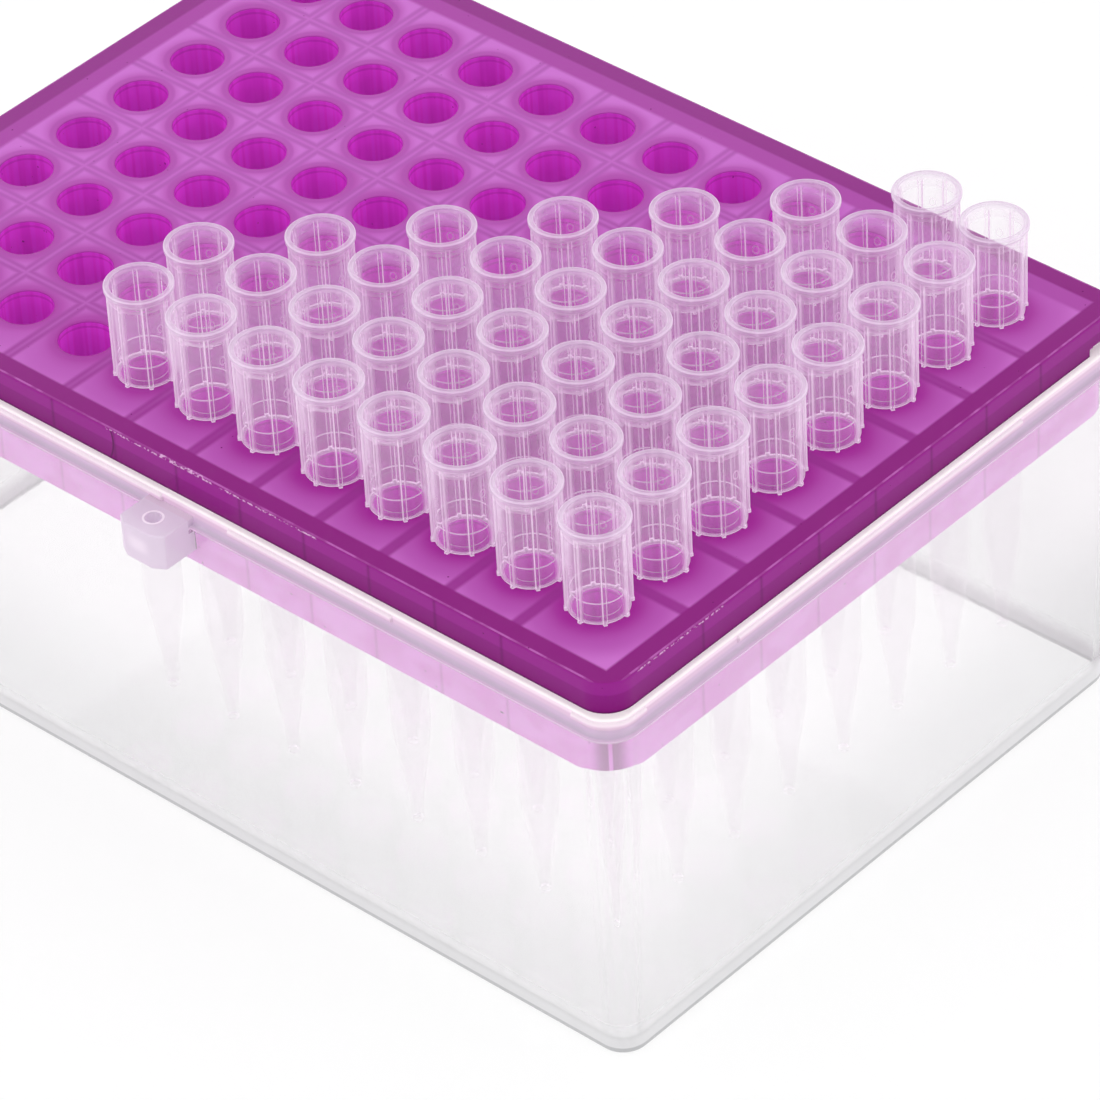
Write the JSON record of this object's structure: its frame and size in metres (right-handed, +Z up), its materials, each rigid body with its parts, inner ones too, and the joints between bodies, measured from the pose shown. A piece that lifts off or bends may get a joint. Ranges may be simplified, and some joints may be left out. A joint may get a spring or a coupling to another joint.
{
  "type": "rack box of pipette tips",
  "caption": "Open clear tub carrying a tray-shaped rack with a grid of wells; ribbed pipette tips stand in part of the wells.",
  "frame": {"origin": "centre of the tub's underside, halfway between the outermost wells both ways", "axes": "+X along the long side towards the tips' full end, +Y across towards the side away from the lug, +Z up"},
  "size_m": [0.1212, 0.0897, 0.0617],
  "materials": {
    "clear_tub": "clear, slightly frosted",
    "purple_rack": "translucent satin",
    "clear_tip": "clear, slightly milky"
  },
  "bodies": {
    "root": {"tub": "clear_tub", "rack": "purple_rack", "tip_a1": "clear_tip", "tip_a2": "clear_tip", "tip_a3": "clear_tip", "tip_a4": "clear_tip", "tip_a5": "clear_tip", "tip_a6": "clear_tip", "tip_a7": "clear_tip", "tip_a8": "clear_tip", "tip_b1": "clear_tip", "tip_b2": "clear_tip", "tip_b3": "clear_tip", "tip_b4": "clear_tip", "tip_b5": "clear_tip", "tip_b6": "clear_tip", "tip_b7": "clear_tip", "tip_b8": "clear_tip", "tip_c1": "clear_tip", "tip_c2": "clear_tip", "tip_c3": "clear_tip", "tip_c4": "clear_tip", "tip_c5": "clear_tip", "tip_c6": "clear_tip", "tip_c7": "clear_tip", "tip_d1": "clear_tip", "tip_d2": "clear_tip", "tip_d3": "clear_tip", "tip_d4": "clear_tip", "tip_d5": "clear_tip", "tip_d6": "clear_tip", "tip_e1": "clear_tip", "tip_e2": "clear_tip", "tip_e3": "clear_tip", "tip_e4": "clear_tip", "tip_e5": "clear_tip", "tip_f1": "clear_tip", "tip_f2": "clear_tip", "tip_f3": "clear_tip", "tip_f4": "clear_tip", "tip_g1": "clear_tip", "tip_g2": "clear_tip", "tip_g3": "clear_tip", "tip_h1": "clear_tip", "tip_h2": "clear_tip"}
  },
  "joints": []
}
